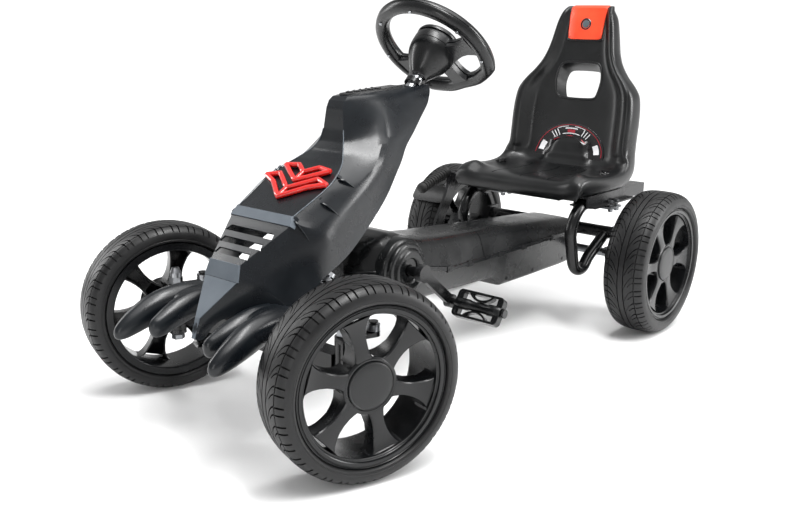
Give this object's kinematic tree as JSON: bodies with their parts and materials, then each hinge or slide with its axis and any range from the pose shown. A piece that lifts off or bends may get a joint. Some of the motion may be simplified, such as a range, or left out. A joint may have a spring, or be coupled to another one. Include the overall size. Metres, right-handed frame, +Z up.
{
  "type": "pedal go kart",
  "caption": "Child's pedal go kart with bucket seat, D-shaped hand wheel, pointed fairing, chain drive in a closed case and a hand brake on one rear tyre.",
  "frame": {"origin": "on the ground under the middle of the kart's bounding box", "axes": "+Z up, -Y towards the nose, +Y towards the seat, +X towards the driver's left"},
  "size_m": [0.5818, 1.0829, 0.6022],
  "materials": {
    "black_steel": "satin black powder coat",
    "black_plastic": "satin moulded black",
    "fairing_plastic": "satin dark blue-grey",
    "tyre_rubber": "matt black tread",
    "rim_plastic": "satin black",
    "bare_steel": "zinc plated",
    "column_steel": "bright plated",
    "bush_nylon": "natural nylon",
    "red_gloss": "glossy red",
    "pad_orange": "glossy orange red",
    "print_grey": "printed plate",
    "grip_rubber": "soft black rubber",
    "chain_steel": "oiled steel"
  },
  "bodies": {
    "chassis": {"main_beam": "black_steel", "front_crossbar": "black_steel", "kingpin_bolts": "bare_steel", "rear_crossbar": "black_steel", "seat_tube_left": "black_steel", "seat_tube_right": "black_steel", "bearing_blocks": "black_steel", "bearing_bolts": "bare_steel", "axle_bushes": "bush_nylon", "crank_bushes": "bush_nylon", "column_bush_lower": "bush_nylon", "column_bush_upper": "black_plastic", "fairing": "fairing_plastic", "emblem": "red_gloss", "dash_plate": "print_grey", "wing_left": "black_plastic", "wing_right": "black_plastic", "chain_cover_upper": "black_plastic", "chain_cover_lower": "black_plastic", "chain": "chain_steel", "brake_bracket": "black_steel"},
    "steering": {"steering_column": "column_steel", "hand_wheel_front": "black_plastic", "hand_wheel_back": "black_plastic", "boss_cover": "black_plastic", "boss_cap": "black_plastic", "hand_wheel_screws": "bare_steel"},
    "knuckle_left": {"knuckle_left": "black_steel", "stub_nuts_left": "bare_steel"},
    "knuckle_right": {"knuckle_right": "black_steel", "stub_nuts_right": "bare_steel"},
    "tie_rod_left": {"tie_rod_left": "bare_steel"},
    "tie_rod_right": {"tie_rod_right": "bare_steel"},
    "front_wheel_left": {"tyre_front_left": "tyre_rubber", "rim_front_left": "rim_plastic", "cap_front_left": "rim_plastic", "bushes_front_left": "bush_nylon"},
    "front_wheel_right": {"tyre_front_right": "tyre_rubber", "rim_front_right": "rim_plastic", "cap_front_right": "rim_plastic", "bushes_front_right": "bush_nylon"},
    "rear_axle": {"rear_axle": "bare_steel", "axle_nuts": "bare_steel", "tyre_rear_left": "tyre_rubber", "rim_rear_left": "rim_plastic", "cap_rear_left": "rim_plastic"},
    "rear_wheel_right": {"tyre_rear_right": "tyre_rubber", "rim_rear_right": "rim_plastic", "cap_rear_right": "rim_plastic", "bushes_rear_right": "bush_nylon"},
    "crank": {"crank": "black_steel"},
    "pedal_left": {"pedal_left": "black_plastic"},
    "pedal_right": {"pedal_right": "black_plastic"},
    "seat": {"seat_shell": "black_plastic", "seat_rails": "black_steel", "seat_clamps": "bare_steel", "head_pad": "pad_orange", "lumbar_plate": "print_grey"},
    "brake": {"brake_lever": "black_steel", "brake_grip": "grip_rubber"}
  },
  "joints": [
    {"name": "steering_turn", "type": "hinge", "parent": "chassis", "child": "steering", "pos_m": [0, 0.0125, 0.52], "axis": [0, 0.6947, 0.7193], "range_deg": [-1, 39]},
    {"name": "kingpin_left", "type": "hinge", "parent": "chassis", "child": "knuckle_left", "pos_m": [0.174, -0.3835, 0.13], "axis": [0, 0, 1], "range_deg": [-1, 39]},
    {"name": "kingpin_right", "type": "hinge", "parent": "chassis", "child": "knuckle_right", "pos_m": [-0.174, -0.3835, 0.13], "axis": [0, 0, 1], "range_deg": [-1, 39]},
    {"name": "tie_rod_left_eye", "type": "hinge", "parent": "knuckle_left", "child": "tie_rod_left", "pos_m": [0.18767, -0.34379, 0.179], "axis": [0, 0, 1], "range_deg": [-39, 1]},
    {"name": "tie_rod_right_eye", "type": "hinge", "parent": "knuckle_right", "child": "tie_rod_right", "pos_m": [-0.16033, -0.34379, 0.179], "axis": [0, 0, 1], "range_deg": [-39, 1]},
    {"name": "front_wheel_left_spin", "type": "hinge", "parent": "knuckle_left", "child": "front_wheel_left", "pos_m": [0.21466, -0.3975, 0.13], "axis": [0.9455, -0.3256, 0], "continuous": true},
    {"name": "front_wheel_right_spin", "type": "hinge", "parent": "knuckle_right", "child": "front_wheel_right", "pos_m": [-0.21466, -0.3695, 0.13], "axis": [0.9455, -0.3256, 0], "continuous": true},
    {"name": "rear_axle_spin", "type": "hinge", "parent": "chassis", "child": "rear_axle", "pos_m": [0.23, 0.4045, 0.133], "axis": [1, 0, 0], "continuous": true},
    {"name": "rear_wheel_right_spin", "type": "hinge", "parent": "chassis", "child": "rear_wheel_right", "pos_m": [-0.23, 0.4045, 0.133], "axis": [1, 0, 0], "continuous": true},
    {"name": "crank_spin", "type": "hinge", "parent": "chassis", "child": "crank", "pos_m": [0, -0.1285, 0.19], "axis": [1, 0, 0], "continuous": true},
    {"name": "pedal_left_spin", "type": "hinge", "parent": "crank", "child": "pedal_left", "pos_m": [0.15, -0.05545, 0.13084], "axis": [1, 0, 0], "continuous": true},
    {"name": "pedal_right_spin", "type": "hinge", "parent": "crank", "child": "pedal_right", "pos_m": [-0.15, -0.20155, 0.24916], "axis": [1, 0, 0], "continuous": true},
    {"name": "seat_slide", "type": "slide", "parent": "chassis", "child": "seat", "axis": [0, 1, 0], "range_m": [-0.04, 0.05]},
    {"name": "brake_pull", "type": "hinge", "parent": "chassis", "child": "brake", "pos_m": [-0.175, 0.2645, 0.15], "axis": [-1, 0, 0], "range_deg": [0, 1.7], "stiffness_Nm_per_rad": 40, "springref_deg": -2.86}
  ],
  "couplings": [
    {"joint": "kingpin_left", "follows": "steering_turn", "ratio": 1},
    {"joint": "kingpin_right", "follows": "steering_turn", "ratio": 1},
    {"joint": "tie_rod_left_eye", "follows": "steering_turn", "ratio": -1},
    {"joint": "tie_rod_right_eye", "follows": "steering_turn", "ratio": -1},
    {"joint": "crank_spin", "follows": "rear_axle_spin", "ratio": 0.61111}
  ]
}
